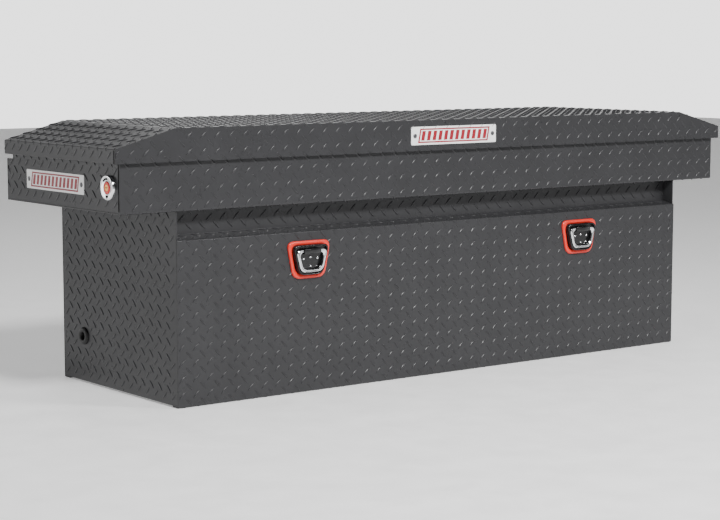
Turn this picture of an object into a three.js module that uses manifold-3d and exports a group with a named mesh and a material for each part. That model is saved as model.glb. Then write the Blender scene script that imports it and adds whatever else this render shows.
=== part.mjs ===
// Crossbed truck tool box: a deep tub that hangs between the bed rails and a wider saddle that
// rests on them, with a rear-hinged lid, two gas struts, a push-button lock and latch at each end,
// and two tie-down rings on raised mounts in a stepped front.
// Millimetres. +X along the box, -Y is the front, +Z up; the origin is under the middle of the box.

import * as THREE from 'three';
import { mergeVertices } from 'three/addons/utils/BufferGeometryUtils.js';
import Module from 'manifold-3d';

const wasm = await Module();
wasm.setup();

// ---------------------------------------------------------------- driving dimensions

const LENGTH = 1816; // lid, end to end
const DEPTH = 514; // front name plate to the back of the body; the tie-down rings stand further out
const HEIGHT = 599; // floor to the flat top of the lid
const SHEET = 3; // tread plate, without its raised lugs, which only the Blender model has
const GAP = 0.3; // joint gap between neighbouring pieces
const SIDES = [-1, 1]; // left end, right end
const SIDE_NAME = { '-1': 'left', 1: 'right' };

const PLATE = { length: 258, height: 42, thick: 1.2, rivet: 0.8 }; // name plates
const PLATE_PROUD = GAP + PLATE.thick + PLATE.rivet;

// lid
const LID_FRONT = -DEPTH / 2 + PLATE_PROUD;
const LID_REAR = 237;
const LID_HALF = LENGTH / 2;
const SKIRT_Z = 528; // lower edge of the lid's skirts
const LID_END_Z = 559; // top of the lid at its ends
const CREASE = 762; // where the flat top starts to slope down
const LINER_Z = 553;
const LINER_THICK = 2;

// body
const FRONT = LID_FRONT + 10; // outer face of the saddle and the lower tub
const REAR = DEPTH / 2;
const SADDLE_HALF = 892;
const TUB_HALF = 755;
const SADDLE_Z = 422; // underside of the wings, which rests on the bed rails
const LEDGE_Z = 361; // front edge of the step in the tub's front
const STEP_BACK = 36; // how far the band above the step is set back
const STEP_RISE = 8; // the ledge slopes up towards the band
const FOOT = 25; // width of the return flanges that the tub stands on
const SHELF_Z = 517; // shelf behind the lid that carries the hinge
const RISER_Y = 229; // outer face of the upstand in front of the hinge
const RIM_Z = 545; // top of the frame round the mouth
const RIM_WIDTH = 26;
const SEAL = { inset: 6, width: 10, height: LINER_Z - RIM_Z - 2 * GAP };

// hinge
const PIN = { y: 242.8, z: 522.8, r: 2, barrel: 4, bore: 2.4, sides: 12 };
const KNUCKLES = 23;
const HINGE_HALF = 860;
const KNUCKLE_GAP = 0.6;
const LEAF = { thick: 2, height: 30 };

// gas struts, measured from the pin of the body bracket
const STRUT_X = 848;
const STRUT_FOOT = { y: 170, z: 440 };
const STRUT_HEAD = { y: -60, z: 533 }; // with the lid shut
const STRUT = { r: 9.5, bore: 8.2, rod: 4, eye: 8, eyeWidth: 10, stud: 4, studBore: 4.5 };
const TUBE = { start: 14, wall: 6, shortOfEye: 22, gland: 8 }; // along the strut
const PISTON = { at: 40, length: 10, clear: 0.5 };

// locks and latches, at the front of each end
const LOCK = { y: FRONT + 40, z: 477, r: 26.5, proud: 9, hole: 16 };
const BUTTON = { r: 13, bore: 13.5, plunger: 3 };
const KEY = { r: 7, bore: 7.5 };
const HOOK = { x: 846, z: 502, width: 8, pin: 4, bore: 4.5 };
const STRIKER = { x: 838, z: 524, r: 3, spread: 17 };

// tie-downs in the lower front, measured from its outer face, and the cable grommets in the ends
const TIE = { x: 414, z: 298, proud: 15, floor: 8, depth: 8, wall: 2.5 };
const RING = { top: 86, bottom: 58, height: 51, bar: 7.5, pivotZ: 20, pivotY: -14 };
const GROMMET = { y: FRONT + 405, z: 108, r: 20, bore: 9, hole: 14 };

// ---------------------------------------------------------------- materials

function paint(color, roughness, metalness) {
  return new THREE.MeshStandardMaterial({ color, roughness, metalness });
}

const MATERIAL = {
  tread: paint(0x3d3d41, 0.42, 0.55),
  liner: paint(0x4a4b4e, 0.5, 0.5),
  rubber: paint(0x141414, 0.85, 0),
  zinc: paint(0xb9bcc0, 0.35, 0.9),
  chrome: paint(0xe4e6e8, 0.12, 1),
  black: paint(0x151516, 0.45, 0.2),
  red: paint(0xc8392f, 0.4, 0),
  plate: paint(0xe9e9e7, 0.35, 0.3),
  brass: paint(0xc9a25a, 0.3, 0.9),
};

// ---------------------------------------------------------------- solids

// Extrusion directions: where a flat outline's two axes and its depth point.
const ALONG = {
  X: [[0, 1, 0], [0, 0, 1], [1, 0, 0]], // outline in Y, Z
  Y: [[-1, 0, 0], [0, 0, 1], [0, 1, 0]], // outline in -X, Z
  Z: [[1, 0, 0], [0, 1, 0], [0, 0, 1]], // outline in X, Y
};

function toManifold(geometry) {
  const bare = geometry.clone();
  bare.deleteAttribute('normal');
  bare.deleteAttribute('uv');
  const merged = mergeVertices(bare, 1e-4);
  const vertProperties = new Float32Array(merged.attributes.position.array);
  const triVerts = new Uint32Array(merged.index.array);
  return new wasm.Manifold(new wasm.Mesh({ numProp: 3, vertProperties, triVerts }));
}

function toGeometry(manifold) {
  const { vertProperties, triVerts } = manifold.getMesh();
  const geometry = new THREE.BufferGeometry();
  geometry.setAttribute('position', new THREE.BufferAttribute(new Float32Array(vertProperties), 3));
  geometry.setIndex(new THREE.BufferAttribute(new Uint32Array(triVerts), 1));
  geometry.computeVertexNormals();
  return geometry;
}

function extrude(shape, axis, from, to, options = {}) {
  const settings = { depth: to - from, bevelEnabled: false, curveSegments: 4, ...options };
  const [u, v, w] = ALONG[axis].map((direction) => new THREE.Vector3(...direction));
  const geometry = new THREE.ExtrudeGeometry(shape, settings);
  geometry.applyMatrix4(new THREE.Matrix4().makeBasis(u, v, w));
  geometry.translate(w.x * from, w.y * from, w.z * from);
  return toManifold(geometry);
}

const outline = (points) => new THREE.Shape(points.map(([a, b]) => new THREE.Vector2(a, b)));
const prism = (points, axis, from, to) => extrude(outline(points), axis, from, to);

function box([x0, x1], [y0, y1], [z0, z1]) {
  const geometry = new THREE.BoxGeometry(Math.abs(x1 - x0), y1 - y0, z1 - z0);
  geometry.translate((x0 + x1) / 2, (y0 + y1) / 2, (z0 + z1) / 2);
  return toManifold(geometry);
}

const TURN_TO = { X: [0, 0, -Math.PI / 2], Y: [0, 0, 0], Z: [Math.PI / 2, 0, 0] };

function rod(axis, r, from, to, [a, b], sides = 20) {
  const geometry = new THREE.CylinderGeometry(r, r, Math.abs(to - from), sides);
  geometry.rotateX(TURN_TO[axis][0]).rotateZ(TURN_TO[axis][2]);
  const middle = (from + to) / 2;
  const place = { X: [middle, a, b], Y: [a, middle, b], Z: [a, b, middle] }[axis];
  return toManifold(geometry.translate(...place));
}

// A turned piece on the Z axis: profile points are [radius, height].
function turned(profile, sides = 32) {
  const closed = [...profile, profile[0]].map(([r, h]) => new THREE.Vector2(r, h));
  const geometry = new THREE.LatheGeometry(closed, sides);
  geometry.rotateX(Math.PI / 2);
  const manifold = toManifold(geometry);
  return manifold.volume() < 0 ? flipped(geometry) : manifold;
}

function flipped(geometry) {
  const index = geometry.index.array;
  for (let i = 0; i < index.length; i += 3) {
    [index[i], index[i + 1]] = [index[i + 1], index[i]];
  }
  return toManifold(geometry);
}

// A bent sheet: its outer face follows the path and its thickness lies to the path's right.
function bentSheet(path, thick, axis, from, to) {
  const points = path.map(([a, b]) => new THREE.Vector2(a, b));
  const normals = points.slice(1).map((p, i) => {
    const along = p.clone().sub(points[i]).normalize();
    return new THREE.Vector2(along.y, -along.x);
  });
  const inner = points.map((p, i) => {
    const before = normals[Math.max(i - 1, 0)];
    const after = normals[Math.min(i, normals.length - 1)];
    const mitre = before.clone().add(after);
    return p.clone().add(mitre.multiplyScalar((2 * thick) / mitre.lengthSq()));
  });
  return extrude(new THREE.Shape([...points, ...inner.reverse()]), axis, from, to);
}

// A rounded trapezoid, wider at the top, centred on the origin and shrunk by inset all round.
function trapezoid(top, bottom, height, radius, inset = 0) {
  const slope = Math.hypot(1, (top - bottom) / 2 / height);
  const h = height / 2 - inset;
  const halfAt = (z) => (top + bottom) / 4 + ((top - bottom) / 2) * (z / height) - inset * slope;
  const corners = [[halfAt(h), h], [-halfAt(h), h], [-halfAt(-h), -h], [halfAt(-h), -h]];
  const at = corners.map(([a, b]) => new THREE.Vector2(a, b));
  const shape = new THREE.Shape();
  at.forEach((corner, i) => {
    const toPrevious = at[(i + 3) % 4].clone().sub(corner).normalize();
    const toNext = at[(i + 1) % 4].clone().sub(corner).normalize();
    const start = corner.clone().addScaledVector(toPrevious, radius);
    const end = corner.clone().addScaledVector(toNext, radius);
    if (i === 0) {
      shape.moveTo(start.x, start.y);
    } else {
      shape.lineTo(start.x, start.y);
    }
    shape.quadraticCurveTo(corner.x, corner.y, end.x, end.y);
  });
  shape.closePath();
  return shape;
}

function frameRing(half, [y0, y1], width, [z0, z1]) {
  const outer = box([-half, half], [y0, y1], [z0, z1]);
  return outer.subtract(box([width - half, half - width], [y0 + width, y1 - width], [z0 - 1, z1 + 1]));
}

// ---------------------------------------------------------------- assembly helpers

const assembly = new THREE.Group();

function add(name, manifold, material, parent = assembly) {
  const mesh = new THREE.Mesh(toGeometry(manifold), MATERIAL[material]);
  mesh.name = name;
  parent.add(mesh);
  return mesh;
}

function frameAt(x, y, z, rotation = [0, 0, 0]) {
  const group = new THREE.Group();
  group.position.set(x, y, z);
  group.rotation.set(...rotation);
  assembly.add(group);
  return group;
}

// Rotation that points a piece's +X to the outside of its end of the box.
const facing = (side) => [0, 0, side > 0 ? 0 : Math.PI];

// ---------------------------------------------------------------- tub

const INNER_TUB = TUB_HALF - SHEET;
const BAND_Y = FRONT + STEP_BACK;
const SADDLE_FOOT_Y = BAND_Y + SHEET; // inner edge of the saddle's front return, over the band

function buildTub() {
  const path = [
    [FRONT + FOOT, 0],
    [FRONT, 0],
    [FRONT, LEDGE_Z],
    [BAND_Y, LEDGE_Z + STEP_RISE],
    [BAND_Y, SADDLE_Z - GAP],
  ];
  let front = bentSheet(path, SHEET, 'X', -TUB_HALF, TUB_HALF);
  for (const side of SIDES) {
    const xs = [side * (INNER_TUB - GAP), side * (TUB_HALF + 1)].sort((a, b) => a - b);
    front = front.subtract(box(xs, [FRONT + SHEET, REAR], [SHEET, SADDLE_Z]));
    const opening = extrude(trapezoid(...PAN_OUTER, -0.4), 'Y', -TIE.depth, TIE.depth);
    front = front.subtract(opening.translate([side * TIE.x, FRONT, TIE.z]));
  }
  add('tub_front_panel', front, 'tread');

  const rearPath = [[REAR, SADDLE_Z - GAP], [REAR, 0], [REAR - FOOT, 0]];
  let rear = bentSheet(rearPath, SHEET, 'X', -TUB_HALF, TUB_HALF);
  for (const side of SIDES) {
    const xs = [side * (INNER_TUB - GAP), side * (TUB_HALF + 1)].sort((a, b) => a - b);
    rear = rear.subtract(box(xs, [FRONT, REAR - SHEET], [SHEET, SADDLE_Z]));
  }
  add('tub_rear_panel', rear, 'tread');

  const inside = [FRONT + SHEET + GAP, REAR - SHEET - GAP];
  const floor = box([GAP - INNER_TUB, INNER_TUB - GAP], inside, [SHEET + GAP, 2 * SHEET + GAP]);
  add('tub_floor', floor, 'tread');

  for (const side of SIDES) {
    const xs = [side * INNER_TUB, side * TUB_HALF].sort((a, b) => a - b);
    const lower = box(xs, inside, [SHEET + GAP, SADDLE_Z - GAP]);
    const upper = box(xs, [SADDLE_FOOT_Y + GAP, inside[1]], [SADDLE_Z - 1, SADDLE_Z + SHEET]);
    const wall = lower.add(upper);
    const hole = rod('X', GROMMET.hole, xs[0] - 1, xs[1] + 1, [GROMMET.y, GROMMET.z]);
    add(`tub_end_${SIDE_NAME[side]}`, wall.subtract(hole), 'tread');
  }
}

// ---------------------------------------------------------------- saddle

function buildSaddle() {
  const top = RIM_Z - SHEET - GAP;
  const whole = [-SADDLE_HALF, SADDLE_HALF];
  const frontPath = [[SADDLE_FOOT_Y, SADDLE_Z], [FRONT, SADDLE_Z], [FRONT, top]];
  add('saddle_front_panel', bentSheet(frontPath, SHEET, 'X', ...whole), 'tread');
  add('saddle_rear_panel', box(whole, [REAR - SHEET, REAR], [SADDLE_Z, SHELF_Z]), 'tread');
  const shelfSpan = [RISER_Y - SHEET, REAR - SHEET - GAP];
  add('hinge_shelf', box(whole, shelfSpan, [SHELF_Z - SHEET, SHELF_Z]), 'tread');
  add('rear_upstand', box(whole, [RISER_Y - SHEET, RISER_Y], [SHELF_Z + GAP, top]), 'tread');

  const frontEdge = FRONT + SHEET + GAP;
  const rearEdge = REAR - SHEET - GAP;
  const notchY = RISER_Y - SHEET - GAP;
  const notchZ = SHELF_Z - SHEET - GAP;
  const endOutline = [
    [frontEdge, SADDLE_Z + SHEET + GAP],
    [rearEdge, SADDLE_Z + SHEET + GAP],
    [rearEdge, notchZ],
    [notchY, notchZ],
    [notchY, top],
    [frontEdge, top],
  ];
  for (const side of SIDES) {
    const xs = [side * (SADDLE_HALF - SHEET), side * SADDLE_HALF].sort((a, b) => a - b);
    const hole = rod('X', LOCK.hole, xs[0] - 1, xs[1] + 1, [LOCK.y, LOCK.z], 32);
    add(`saddle_end_${SIDE_NAME[side]}`, prism(endOutline, 'X', ...xs).subtract(hole), 'tread');
    const span = [side * (TUB_HALF + GAP), side * SADDLE_HALF].sort((a, b) => a - b);
    const wing = box(span, [SADDLE_FOOT_Y + GAP, rearEdge], [SADDLE_Z, SADDLE_Z + SHEET]);
    add(`wing_floor_${SIDE_NAME[side]}`, wing, 'tread');
  }

  const span = [FRONT, RISER_Y];
  add('rim_flange', frameRing(SADDLE_HALF, span, RIM_WIDTH, [RIM_Z - SHEET, RIM_Z]), 'liner');

  const sealSpan = [FRONT + SEAL.inset, RISER_Y - SEAL.inset];
  const sealZ = [RIM_Z + GAP, RIM_Z + GAP + SEAL.height];
  add('lid_seal', frameRing(SADDLE_HALF - SEAL.inset, sealSpan, SEAL.width, sealZ), 'rubber');
}

// ---------------------------------------------------------------- lid

function buildLid() {
  const outer = [
    [-LID_HALF, SKIRT_Z],
    [LID_HALF, SKIRT_Z],
    [LID_HALF, LID_END_Z],
    [CREASE, HEIGHT],
    [-CREASE, HEIGHT],
    [-LID_HALF, LID_END_Z],
  ];
  const slope = Math.atan2(HEIGHT - LID_END_Z, LID_HALF - CREASE);
  const drop = SHEET * Math.tan((Math.PI / 2 - slope) / 2);
  const inset = SHEET * Math.tan(slope / 2);
  const inner = [
    [SHEET - LID_HALF, SKIRT_Z - 1],
    [LID_HALF - SHEET, SKIRT_Z - 1],
    [LID_HALF - SHEET, LID_END_Z - drop],
    [CREASE - inset, HEIGHT - SHEET],
    [inset - CREASE, HEIGHT - SHEET],
    [SHEET - LID_HALF, LID_END_Z - drop],
  ];
  const inFront = LID_FRONT + SHEET;
  const behind = LID_REAR - SHEET;
  const between = [inFront + GAP, behind - GAP];
  add('lid_top', box([GAP - CREASE, CREASE - GAP], between, [HEIGHT - SHEET, HEIGHT]), 'tread');
  add('lid_skirt_front', prism(outer, 'Y', LID_FRONT, inFront), 'tread');
  add('lid_skirt_rear', prism(outer, 'Y', behind, LID_REAR), 'tread');

  // each end slopes down and folds into its skirt
  const folded = prism(outer, 'Y', ...between).subtract(prism(inner, 'Y', LID_FRONT, LID_REAR));
  for (const side of SIDES) {
    const reach = [side * CREASE, side * LID_HALF].sort((a, b) => a - b);
    const end = folded.intersect(box(reach, between, [SKIRT_Z, HEIGHT]));
    add(`lid_end_${SIDE_NAME[side]}`, end, 'tread');
  }

  const clear = 2 * SHEET; // from the liner to the outside of the skirts
  const endClear = clear + 4; // at the ends, where the slopes come down
  const liner = box(
    [endClear - LID_HALF, LID_HALF - endClear],
    [LID_FRONT + clear, LID_REAR - clear],
    [LINER_Z, LINER_Z + LINER_THICK],
  );
  add('lid_liner', liner, 'liner');

  const ribFoot = LINER_Z + 2 * LINER_THICK + GAP; // upper face of the hat section's feet
  const ribTop = HEIGHT - SHEET - GAP;
  for (const side of SIDES) {
    const x = -side * TIE.x; // outlines along Y run in -X
    const hat = [
      [-50, ribFoot], [-25, ribFoot], [-18, ribTop], [18, ribTop], [25, ribFoot], [50, ribFoot],
    ];
    const path = hat.map(([u, z]) => [x + u, z]);
    const rib = bentSheet(path, LINER_THICK, 'Y', LID_FRONT + 2 * clear, LID_REAR - 2 * clear);
    add(`lid_rib_${SIDE_NAME[side]}`, rib, 'zinc');
  }
}

// ---------------------------------------------------------------- hinge

// A leaf owns every second knuckle, starting with the first or the second, and clears the others.
function hingeLeaf(plate, firstKnuckle) {
  const pitch = (2 * HINGE_HALF) / KNUCKLES;
  const axis = [PIN.y, PIN.z];
  let leaf = plate;
  for (let i = 0; i < KNUCKLES; i += 1) {
    const start = i * pitch - HINGE_HALF;
    const end = start + pitch;
    if (i % 2 === firstKnuckle) {
      leaf = leaf.add(rod('X', PIN.barrel, start + KNUCKLE_GAP, end - KNUCKLE_GAP, axis, PIN.sides));
    } else {
      leaf = leaf.subtract(rod('X', PIN.barrel + KNUCKLE_GAP, start, end, axis, PIN.sides));
    }
  }
  return leaf.subtract(rod('X', PIN.bore, -HINGE_HALF - 1, HINGE_HALF + 1, axis, PIN.sides));
}

function buildHinge() {
  const span = [-HINGE_HALF, HINGE_HALF];
  const shelf = [SHELF_Z + GAP, SHELF_Z + GAP + LEAF.thick];
  add('hinge_leaf_body', hingeLeaf(box(span, [PIN.y, REAR - LEAF.thick], shelf), 0), 'zinc');
  const skirt = [LID_REAR + GAP, LID_REAR + GAP + LEAF.thick];
  add('hinge_leaf_lid', hingeLeaf(box(span, skirt, [PIN.z, PIN.z + LEAF.height]), 1), 'zinc');
  add('hinge_pin', rod('X', PIN.r, -HINGE_HALF, HINGE_HALF, [PIN.y, PIN.z], PIN.sides), 'zinc');
}

// ---------------------------------------------------------------- gas struts

// A strut points up its own Z axis, from the pin of its foot, before it is tilted about X.
function buildStruts() {
  const reach = Math.hypot(STRUT_HEAD.y - STRUT_FOOT.y, STRUT_HEAD.z - STRUT_FOOT.z);
  const tilt = Math.atan2(STRUT_HEAD.z - STRUT_FOOT.z, STRUT_HEAD.y - STRUT_FOOT.y) - Math.PI / 2;
  const end = reach - TUBE.shortOfEye;
  const glandStart = end - TUBE.gland;
  const cavity = TUBE.start + TUBE.wall;
  const rodBore = STRUT.rod + 2 * GAP;
  const half = STRUT.eyeWidth / 2;
  for (const side of SIDES) {
    const name = SIDE_NAME[side];
    const strut = frameAt(side * STRUT_X, STRUT_FOOT.y, STRUT_FOOT.z, [tilt, 0, 0]);
    const tube = turned([
      [0, TUBE.start], [STRUT.r, TUBE.start], [STRUT.r, end], [rodBore, end],
      [rodBore, glandStart], [STRUT.bore, glandStart], [STRUT.bore, cavity], [0, cavity],
    ], 24);
    const foot = rod('X', STRUT.eye, -half, half, [0, 0]);
    const neck = rod('Z', STRUT.rod, 0, TUBE.start + 1, [0, 0]);
    const bore = rod('X', STRUT.studBore, -half - 1, half + 1, [0, 0]);
    add(`strut_cylinder_${name}`, tube.add(foot).add(neck).subtract(bore), 'black', strut);

    const pistonEnd = PISTON.at + PISTON.length;
    const shaft = rod('Z', STRUT.rod, pistonEnd - 2, reach - 2, [0, 0]);
    const piston = rod('Z', STRUT.bore - PISTON.clear, PISTON.at, pistonEnd, [0, 0], 24);
    const eye = rod('X', STRUT.eye, -half, half, [0, reach]);
    add(`strut_rod_${name}`, shaft.add(piston).add(eye), 'chrome', strut);
    buildStrutBrackets(side, name, half);
  }
}

// Each bracket is built with its own +X to the outside of its end, from the strut's pin.
function buildStrutBrackets(side, name, halfEye) {
  const wall = SADDLE_HALF - SHEET - GAP - STRUT_X;
  const foot = frameAt(side * STRUT_X, STRUT_FOOT.y, STRUT_FOOT.z, facing(side));
  const pad = box([wall - 4, wall], [-22, 22], [-12, 28]);
  const stand = rod('X', 7, halfEye + 2, wall - 3, [0, 0]);
  const stud = rod('X', STRUT.stud, -halfEye - 1, wall - 3, [0, 0]);
  add(`strut_bracket_body_${name}`, pad.add(stand).add(stud), 'zinc', foot);

  // the lid's stud stops short of the rod's eye, where the linkage is open
  const head = frameAt(side * STRUT_X, STRUT_HEAD.y, STRUT_HEAD.z, facing(side));
  const rise = LINER_Z - GAP - STRUT_HEAD.z;
  const plate = box([-26, -23], [-14, 14], [-9, rise]);
  const base = box([-46, -23], [-14, 14], [rise - 3, rise]);
  const headStud = rod('X', STRUT.stud, -25, -halfEye - 0.5, [0, 0]);
  add(`strut_bracket_lid_${name}`, plate.add(base).add(headStud), 'zinc', head);
}

// ---------------------------------------------------------------- locks and latches

// Each lock is built on its own Z axis, which points out of the box; zero is the wall's outer face.
function buildLocks() {
  const inner = -SHEET - GAP;
  for (const side of SIDES) {
    const name = SIDE_NAME[side];
    const lock = frameAt(side * SADDLE_HALF, LOCK.y, LOCK.z, [0, (side * Math.PI) / 2, 0]);
    const bezel = turned([
      [BUTTON.bore, inner], [LOCK.hole - 0.4, inner], [LOCK.hole - 0.4, GAP], [LOCK.r, GAP],
      [LOCK.r, 4], [LOCK.r - 2, LOCK.proud - 1], [LOCK.r - 4, LOCK.proud],
      [LOCK.r - 6, LOCK.proud - 1.5], [BUTTON.bore + 2, LOCK.proud - 1.5],
      [BUTTON.bore, LOCK.proud - 1],
    ], 40);
    add(`lock_escutcheon_${name}`, bezel, 'chrome', lock);

    const housing = turned([
      [BUTTON.bore, inner - GAP], [BUTTON.bore, -30], [BUTTON.plunger + 0.6, -30],
      [BUTTON.plunger + 0.6, -34], [18, -34], [18, -12], [20, -12], [20, inner - GAP],
    ], 24);
    add(`lock_housing_${name}`, housing, 'zinc', lock);

    const button = turned([
      [0, -42.1], [BUTTON.plunger, -42.1], [BUTTON.plunger, -20], [BUTTON.r, -20],
      [BUTTON.r, LOCK.proud - 1], [BUTTON.r - 1, LOCK.proud], [KEY.bore, LOCK.proud],
      [KEY.bore, -12], [0, -12],
    ], 28);
    add(`lock_button_${name}`, button, 'red', lock);

    const plug = rod('Z', KEY.r, -11.5, LOCK.proud - 0.5, [0, 0]);
    const slot = box([-0.8, 0.8], [-4.5, 4.5], [-6, LOCK.proud]);
    add(`lock_cylinder_${name}`, plug.subtract(slot), 'brass', lock);
    buildLatch(side, name);
  }
}

// The hook turns on a pin along Y; pushing the button swings its nose off the striker bar.
function buildLatch(side, name) {
  const place = frameAt(side * HOOK.x, LOCK.y, HOOK.z, facing(side));
  const wall = SADDLE_HALF - SHEET - GAP - HOOK.x; // inner face of the end wall
  const half = HOOK.width / 2;

  const back = box([wall - 3, wall], [-half - 4, half + 4], [-4.5, 32]);
  const cheekShape = [[0, -6], [wall - 1, -4], [wall - 1, 14], [6, 7], [-5, 5]];
  let frame = back.add(rod('Y', HOOK.pin, -half - 4, half + 4, [0, 0], 16));
  for (const [from, to] of [[-half - 4, -half - 1], [half + 1, half + 4]]) {
    frame = frame.add(prism(cheekShape.map(([x, z]) => [-x, z]), 'Y', from, to));
  }
  add(`latch_frame_${name}`, frame, 'zinc', place);

  const hookShape = [
    [3, -36], [3, -5], [8, 0], [5, 8], [4, 32], [-9.5, 32],
    [-9.5, 26.5], [-3.2, 26.5], [-4, 6], [-7, 0], [-3, -8], [-3, -36],
  ];
  const hook = prism(hookShape.map(([x, z]) => [-x, z]), 'Y', -half, half);
  const bore = rod('Y', HOOK.bore, -half - 1, half + 1, [0, 0], 16);
  add(`latch_hook_${name}`, hook.subtract(bore), 'zinc', place);

  const hang = frameAt(side * STRIKER.x, LOCK.y, STRIKER.z);
  const reach = STRIKER.spread / 2;
  const rise = LINER_Z - GAP - STRIKER.z;
  let striker = rod('Y', STRIKER.r, -reach - STRIKER.r, reach + STRIKER.r, [0, 0], 16);
  for (const end of [-reach, reach]) {
    striker = striker.add(rod('Z', STRIKER.r, 0, rise, [0, end], 16));
  }
  striker = striker.add(box([-14, 14], [-reach - 8, reach + 8], [rise - 3, rise]));
  add(`striker_${name}`, striker, 'chrome', hang);
}

// ---------------------------------------------------------------- tie-downs, grommets, plates

const BEZEL = [119, 86, 84, 20]; // top, bottom, height, corner reach
const BEZEL_INNER = [100, 66, 69, 16];
const PAN_OUTER = [98, 64, 67, 15];

// Each mount stands proud of the front and is hollow behind; its block is bored for the ring's top bar.
function buildTieDowns() {
  for (const side of SIDES) {
    const name = SIDE_NAME[side];
    const place = frameAt(side * TIE.x, FRONT, TIE.z);

    const flange = extrude(trapezoid(...BEZEL, 3), 'Y', -GAP - 1.5, -GAP);
    const dish = extrude(trapezoid(...PAN_OUTER), 'Y', -TIE.proud, TIE.depth);
    const hollow = trapezoid(...PAN_OUTER, TIE.wall);
    let pan = flange.add(dish)
      .subtract(extrude(hollow, 'Y', -TIE.proud - 1, -TIE.floor))
      .subtract(extrude(hollow, 'Y', TIE.wall - TIE.floor, TIE.depth + 1));
    const studs = [[-19, 3], [19, 3], [0, 6], [0, -14]];
    for (const [x, z] of studs) pan = pan.add(rod('Y', 3, -TIE.floor - 3, -TIE.floor + 1, [x, z], 12));
    const { pivotY, pivotZ, bar } = RING;
    const block = box([-23, 23], [pivotY - 5.5, -TIE.floor + 1], [pivotZ - 6.5, pivotZ + 6.5]);
    pan = pan.add(block).subtract(rod('X', bar / 2 + 0.9, -24, 24, [pivotY, pivotZ]));
    add(`tie_down_pan_${name}`, pan, 'black', place);

    const bezel = extrude(trapezoid(...BEZEL), 'Y', -GAP * 2 - 4.7, -GAP * 2 - 1.5);
    const mouth = extrude(trapezoid(...BEZEL_INNER), 'Y', -8, 2);
    add(`tie_down_bezel_${name}`, bezel.subtract(mouth), 'red', place);

    // the ring hangs from its top bar, with a chamfered bar section
    const chamfer = 2.2;
    const loop = trapezoid(RING.top, RING.bottom, RING.height, 14, chamfer);
    loop.holes.push(trapezoid(RING.top, RING.bottom, RING.height, 9, bar - chamfer));
    const bevel = { bevelEnabled: true, bevelThickness: chamfer, bevelSize: chamfer, bevelSegments: 1 };
    const ring = extrude(loop, 'Y', chamfer - bar / 2, bar / 2 - chamfer, bevel);
    const centreZ = pivotZ + bar / 2 - RING.height / 2;
    add(`tie_down_ring_${name}`, ring.translate([0, pivotY, centreZ]), 'chrome', place);
  }
}

function buildGrommets() {
  const { r, bore, hole } = GROMMET;
  const neck = hole - 0.4;
  const back = -SHEET - GAP;
  for (const side of SIDES) {
    const place = frameAt(side * TUB_HALF, GROMMET.y, GROMMET.z, [0, (side * Math.PI) / 2, 0]);
    const profile = [
      [bore, back - 3], [r - 2, back - 3], [r - 2, back], [neck, back], [neck, GAP],
      [r, GAP], [r, 3], [r - 3, 6], [bore + 2, 6], [bore, 4],
    ];
    add(`grommet_${SIDE_NAME[side]}`, turned(profile, 28), 'rubber', place);
  }
}

// A riveted plate in its own X, Z plane, standing out towards its -Y.
function namePlate() {
  const shape = trapezoid(PLATE.length, PLATE.length, PLATE.height, 3);
  let plate = extrude(shape, 'Y', -GAP - PLATE.thick, -GAP);
  for (const end of SIDES) {
    const x = end * (PLATE.length / 2 - 11);
    plate = plate.add(rod('Y', 4, -PLATE_PROUD, -GAP, [x, 0], 16));
  }
  return plate;
}

function buildNamePlates() {
  add('name_plate_front', namePlate(), 'plate', frameAt(0, LID_FRONT, 563));
  for (const side of SIDES) {
    const place = frameAt(side * SADDLE_HALF, FRONT + 276, 476, [0, 0, (side * Math.PI) / 2]);
    add(`name_plate_${SIDE_NAME[side]}`, namePlate(), 'plate', place);
  }
}

buildTub();
buildSaddle();
buildLid();
buildHinge();
buildStruts();
buildLocks();
buildTieDowns();
buildGrommets();
buildNamePlates();

export default assembly;
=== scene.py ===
"""Looks for a crossbed truck tool box: powder-coated tread plate, chrome locks and tie-down rings.

Metres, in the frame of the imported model: +X along the box, -Y its front, +Z up.
"""

import math

import bmesh
import bpy
from mathutils import Matrix, Vector


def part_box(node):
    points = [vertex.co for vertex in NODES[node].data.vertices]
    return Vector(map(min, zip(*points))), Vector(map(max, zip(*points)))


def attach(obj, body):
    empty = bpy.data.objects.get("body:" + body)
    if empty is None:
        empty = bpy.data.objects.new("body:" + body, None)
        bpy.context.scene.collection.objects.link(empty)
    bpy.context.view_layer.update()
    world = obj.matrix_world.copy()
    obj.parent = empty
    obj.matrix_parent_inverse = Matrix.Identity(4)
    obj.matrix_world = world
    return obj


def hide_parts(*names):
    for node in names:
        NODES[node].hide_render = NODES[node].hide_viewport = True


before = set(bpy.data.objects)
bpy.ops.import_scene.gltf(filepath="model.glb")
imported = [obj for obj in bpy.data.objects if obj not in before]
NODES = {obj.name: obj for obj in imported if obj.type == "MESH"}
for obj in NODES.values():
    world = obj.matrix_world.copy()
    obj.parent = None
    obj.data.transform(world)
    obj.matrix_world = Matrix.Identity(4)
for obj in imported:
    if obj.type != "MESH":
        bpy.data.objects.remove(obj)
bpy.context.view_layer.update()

SIDES = {"left": -1, "right": 1}
MM = 0.001

# ---------------------------------------------------------------- places, from the frame

GAP = 0.3 * MM
SHEET = 3 * MM

lid_lo, lid_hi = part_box("lid_skirt_front")
lid_hi.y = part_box("lid_skirt_rear")[1].y
LID_FRONT = lid_lo.y
tub_lo, tub_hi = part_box("tub_front_panel")
saddle_lo, saddle_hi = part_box("saddle_front_panel")
FRONT = tub_lo.y
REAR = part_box("tub_rear_panel")[1].y
TUB_HALF = tub_hi.x
SADDLE_HALF = saddle_hi.x
SADDLE_Z = saddle_lo.z
RIM_Z = saddle_hi.z
SHELF_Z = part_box("hinge_leaf_body")[0].z - GAP
HINGE_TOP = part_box("hinge_leaf_lid")[1].z
BAND_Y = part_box("wing_floor_left")[0].y - SHEET - GAP

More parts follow.
